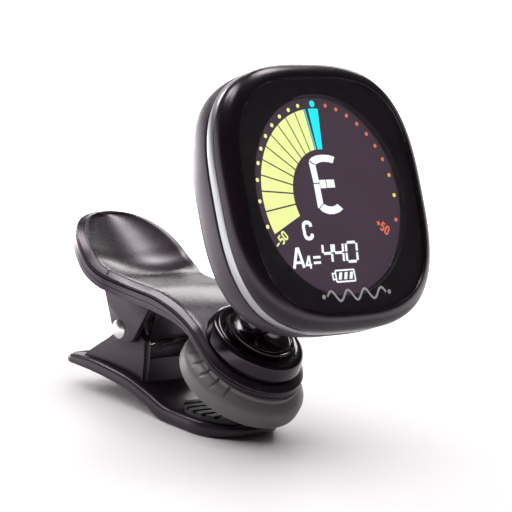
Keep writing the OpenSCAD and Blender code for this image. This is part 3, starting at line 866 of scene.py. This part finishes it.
# the small note name and the reference pitch
white.stroke(LIT, [(-5.95, -5.5), (-6.0, -5.0), (-6.45, -4.7), (-7.1, -4.65), (-7.6, -4.9), (-7.8, -5.4),
                   (-7.8, -6.9),
                   (-7.6, -7.4), (-7.1, -7.65), (-6.45, -7.6), (-6.0, -7.3), (-5.95, -6.8)], 0.7, 0, THICK)
white.stroke(LIT, [(-11.95, -12.9), (-10.55, -9.45), (-10.15, -9.45), (-9.45, -12.9)], 0.62, 0, THICK)
white.stroke(LIT, [(-11.3, -11.9), (-9.75, -11.9)], 0.5, 0, THICK)
white.stroke(LIT, [(-7.4, -12.45), (-8.75, -12.45), (-7.9, -10.85)], 0.4, 0, THICK)
white.stroke(LIT, [(-7.8, -10.75), (-7.8, -13.15)], 0.4, 0, THICK)
white.stroke(LIT, [(-6.75, -11.15), (-4.95, -11.15)], 0.46, 0, THICK)
white.stroke(LIT, [(-6.85, -12.15), (-5.05, -12.15)], 0.46, 0, THICK)


def digit(u, v, w, h, segments):
    """A slanted digit. Its parts: 0 top, 1 and 2 upper, 3 middle, 4 and 5 lower, 6 bottom; left first."""
    lines = [((0.12, 1), (0.88, 1)), ((0, 0.95), (0, 0.54)), ((1, 0.95), (1, 0.54)), ((0.1, 0.5), (0.9, 0.5)),
             ((0, 0.46), (0, 0.05)), ((1, 0.46), (1, 0.05)), ((0.12, 0), (0.88, 0))]
    for k in segments:
        pts = [(u + x * w + 0.13 * y * h, v + y * h) for x, y in lines[k]]
        white.stroke(LIT, pts, 0.5, 0, THICK)


digit(-4.35, -12.35, 2.3, 3.55, (1, 2, 3, 5))
digit(-1.45, -12.35, 2.3, 3.55, (1, 2, 3, 5))
digit(1.7, -12.35, 2.75, 3.55, (0, 1, 2, 4, 5, 6))
# the battery symbol
white.stroke(LIT, rounded(-1.9, -15.95, 2.95, -13.85, 0.2), 0.3, 0, THICK, ring=True)
white.stroke(LIT, [(-2.0, -14.35), (-2.7, -14.35), (-2.7, -15.45), (-2.0, -15.45)], 0.3, 0, THICK)
for u in (-1.35, 0.05, 1.45):
    white.tile(LIT, [(u, -15.55), (u + 0.75, -15.55), (u + 1.2, -14.25), (u + 0.45, -14.25)], 0, THICK)
# the ends of the scale
FIVE = [(0.95, 2.0), (0.1, 2.0), (0.05, 1.1), (0.6, 1.2), (0.95, 0.85), (0.9, 0.3), (0.5, 0.0), (0.0, 0.15)]
NOUGHT = rounded(0.0, 0.0, 0.95, 2.0, 0.42)
END_SIZE = 0.78


def scale_end(shape, u, v, deg, plus):
    """The number at one end of the scale, plus or minus fifty."""

    def line(points):
        return turned(points, u, v, deg, END_SIZE)

    if plus:
        shape.tile(LIT, line([(0.0, 0.82), (0.37, 0.82), (0.37, 0.45), (0.73, 0.45), (0.73, 0.82),
                              (1.1, 0.82),
                              (1.1, 1.18), (0.73, 1.18), (0.73, 1.55), (0.37, 1.55), (0.37, 1.18),
                              (0.0, 1.18)]),
                   0, THICK)
    else:
        shape.stroke(LIT, line([(-0.15, 1.0), (0.95, 1.0)]), 0.3, 0, THICK)
    shape.stroke(LIT, line([(x + 1.6, y) for x, y in FIVE]), 0.32, 0, THICK)
    shape.stroke(LIT, line([(x + 3.15, y) for x, y in NOUGHT]), 0.32, 0, THICK, ring=True)


scale_end(fan, -14.6, -9.2, 38, False)
scale_end(orange, 10.9, -5.9, -37, True)

for shape, name, glow in ((fan, "lit_fan", green_lit), (orange, "lit_dots_orange", orange_lit),
                          (amber, "lit_dot_amber", amber_lit), (yellow, "lit_dot_yellow", yellow_lit),
                          (cyan, "lit_centre", cyan_lit), (white, "lit_symbols", white_lit)):
    put(shape.mesh(name), "head", "display_glass", glow)

# a plain wave mark printed under the glass
PRINT = Place(HEAD.o, HEAD.y, -HEAD.x, HEAD.z)
mark = Shape()
WAVE_V, WAVE_H, WAVES, WAVE_STEPS = -18.65, 0.95, 3.5, 72
PRINT_W, PRINT_LOW, PRINT_HIGH = 0.42, 1.205, 1.235
wave = [(-6.2 + 15.2 * k / WAVE_STEPS, WAVE_V + WAVE_H * math.sin(math.tau * WAVES * k / WAVE_STEPS))
        for k in range(WAVE_STEPS + 1)]
mark.stroke(PRINT, wave, PRINT_W, PRINT_LOW, PRINT_HIGH)
for u in (-7.1, 9.9):
    mark.tile(PRINT, disc(u, WAVE_V, PRINT_W), PRINT_LOW, PRINT_HIGH)
put(mark.mesh("wave_mark"), "head", "clear_panel", print_look)


# ---- buttons ----

for name, body, k, slot_name, finish in (("power_button", "power_key", 0, "button_red", red_look),
                                         ("up_button", "up_key", 1, "button_black", button_look),
                                         ("down_button", "down_key", -1, "button_black", button_look)):
    at = HEAD.moved(KEY_X, KEY_PITCH * k, 0)
    cap = Shape().spin(
        at,
        [(0.9, -7.75), (1.0, -7.9), (1.0, -10.1), (3.0, -10.15), (3.1, -10.3), (3.1, -10.75), (2.6, -10.8),
         (2.6, -12.85), (2.5, -13.05), (2.3, -13.17), (2.0, -13.2), (1.2, -13.12), (0.05, -13.08)],
        n=64,
    ).mesh(name + "_cap", 35)
    put(cap, body, slot_name, finish, name)

# ---- the CAD nodes that show, with a finish and eased edges ----

for name, finish in (
    ("lower_pad", pad_rubber_painted_shade), ("torsion_spring", spring_look), ("swivel_screw", steel_look),
    ("swivel_washer", steel_look), ("hinge_screw", brass_look), ("hinge_nut", brass_look),
    ("tilt_washers", steel_look), ("backlight", white_look), ("display_carrier", grey_look),
    ("main_board", board_look), ("board_chips", chip_look), ("button_switches", grey_look),
    ("battery_cell", cell_look), ("sensor_disc", sensor_look), ("charge_socket", steel_look),
    ("case_screws", steel_look),
):
    cad[name].data.materials.clear()
    cad[name].data.materials.append(finish)
    soften(cad[name], 0.12, 2, 40)


# ---- floor, light and camera ----

FLOOR_HALF, FLOOR_THICK = 6000, 20
corners = [(FLOOR_HALF * a, FLOOR_HALF * b) for a, b in ((-1, -1), (1, -1), (1, 1), (-1, 1))]
floor = Shape().loft([[Vector((x, y, h)) for x, y in corners] for h in (-FLOOR_THICK, 0)]).mesh("floor")
floor_look = look("floor_pale", (0.93, 0.90, 0.908), 0.55, spread=0.02, Specular_IOR_Level=0.25)
nodes, links = floor_look.node_tree.nodes, floor_look.node_tree.links
shader = nodes["Principled BSDF"]
# painted light: the floor glows, not at all within 82 mm of a point beside the clip and rising to strength
# 1.5 at 150 mm, standing in for the brightly lit floor round it
shader.inputs["Emission Color"].default_value = (1.0, 0.985, 0.99, 1)
away = nodes.new("ShaderNodeVectorMath")
away.operation = "DISTANCE"
away.inputs[1].default_value = (0.03, 0.03, 0)
painted_floor_glow = nodes.new("ShaderNodeMapRange")
painted_floor_glow.inputs["From Min"].default_value = 0.082
painted_floor_glow.inputs["From Max"].default_value = 0.15
painted_floor_glow.inputs["To Min"].default_value = 0.0
painted_floor_glow.inputs["To Max"].default_value = 1.5
links.new(nodes["Texture Coordinate"].outputs["Object"], away.inputs[0])
links.new(away.outputs["Value"], painted_floor_glow.inputs["Value"])
links.new(painted_floor_glow.outputs["Result"], shader.inputs["Emission Strength"])
floor.data.materials.append(floor_look)

world = bpy.data.worlds.new("studio")
scene.world = world
world.use_nodes = True
nodes, links = world.node_tree.nodes, world.node_tree.links
sky = nodes["Background"]


def sky_math(operation, a, b):
    node = nodes.new("ShaderNodeMath")
    node.operation = operation
    for socket, value in zip(node.inputs, (a, b)):
        if isinstance(value, (int, float)):
            socket.default_value = value
        else:
            links.new(value, socket)
    return node.outputs["Value"]


def sky_ramp(value, low, high, at_low, at_high):
    node = nodes.new("ShaderNodeMapRange")
    node.interpolation_type = "SMOOTHSTEP"
    node.inputs["From Min"].default_value, node.inputs["From Max"].default_value = low, high
    node.inputs["To Min"].default_value, node.inputs["To Max"].default_value = at_low, at_high
    links.new(value, node.inputs["Value"])
    return node.outputs["Result"]


toward = nodes.new("ShaderNodeTexCoord").outputs["Generated"]
split = nodes.new("ShaderNodeSeparateXYZ")
links.new(toward, split.inputs["Vector"])
side_of = nodes.new("ShaderNodeVectorMath")
side_of.operation = "DOT_PRODUCT"
side_of.inputs[1].default_value = (-0.94, 0.33, 0.0)
links.new(toward, side_of.inputs[0])
# a white wall low down behind and to the left, and a dim room elsewhere
wall_low = sky_ramp(split.outputs["Z"], 0.10, 0.28, 1.0, 0.0)
wall_side = sky_ramp(side_of.outputs["Value"], 0.0, 0.6, 0.0, 1.0)
WALL_LIGHT, ROOM_LIGHT = 1.9, 0.06
on_wall = sky_math("MULTIPLY", wall_low, wall_side)
sky_strength = sky_math("ADD", sky_math("MULTIPLY", on_wall, WALL_LIGHT), ROOM_LIGHT)
links.new(sky_strength, sky.inputs["Strength"])
sky.inputs["Color"].default_value = (1.0, 0.975, 0.99, 1)

azimuth, elevation, roll = (math.radians(a) for a in (45.747, 10.575, 6.276))
back = Vector((math.sin(azimuth) * math.cos(elevation), -math.cos(azimuth) * math.cos(elevation),
               math.sin(elevation)))
level = Vector((math.cos(azimuth), math.sin(azimuth), 0))
upright = back.cross(level)
right = level * math.cos(roll) + upright * math.sin(roll)
up = upright * math.cos(roll) - level * math.sin(roll)
middle = HEAD.o * MM


def softbox(name, place, aim, width, height, power, tint=(1, 1, 1)):
    data = bpy.data.lights.new(name, "AREA")
    data.shape, data.size, data.size_y, data.energy, data.color = "RECTANGLE", width, height, power, tint
    obj = bpy.data.objects.new(name, data)
    scene.collection.objects.link(obj)
    obj.location = place
    obj.rotation_euler = (Vector(aim) - Vector(place)).to_track_quat("-Z", "Y").to_euler()
    return obj


# the boxes show only in reflections, and the ceiling lights without being reflected
target = Vector((0.005, 0, 0.03))
for name, offset, width, height, power in (
    ("top_box", (-0.09, 0.335, 0.58), 0.22, 0.14, 1.5),
    ("back_box", (-0.60, 0.68, 0.47), 0.62, 0.16, 2.4),
    ("low_box", (-0.28, 0.03, 0.0), 0.24, 0.055, 0.38),
):
    box = softbox(name, target + Vector(offset), target, width, height, power, (1, 0.985, 0.97))
    box.visible_diffuse = False
strip_aim = target + Vector((0, -0.085, 0))
strip_at = strip_aim + Vector((-0.25, 0, 0.60))
strip = softbox("long_box", strip_at, strip_aim, 0.17, 0.68, 4.3, (1, 0.985, 0.96))
strip.visible_diffuse = False
ceiling = softbox("soft_ceiling", target + Vector((-0.25, -0.1, 0.92)), target, 2.4, 2.4, 32)
ceiling.visible_glossy = False

camera = bpy.data.objects.new("camera", bpy.data.cameras.new("camera"))
scene.collection.objects.link(camera)
camera.data.lens, camera.data.sensor_width = 168.75, 36
camera.data.clip_start, camera.data.clip_end = 0.01, 20
turn = Matrix((right, up, back)).transposed()
# the head's middle as the camera sees it: to the right, up and, as a negative number, away
HEAD_SEEN = Vector((13.19, 10.94, -438.0)) * MM
place = middle - turn @ HEAD_SEEN
camera.matrix_world = Matrix.Translation(place) @ turn.to_4x4()
scene.camera = camera
scene.view_settings.view_transform = "Standard"
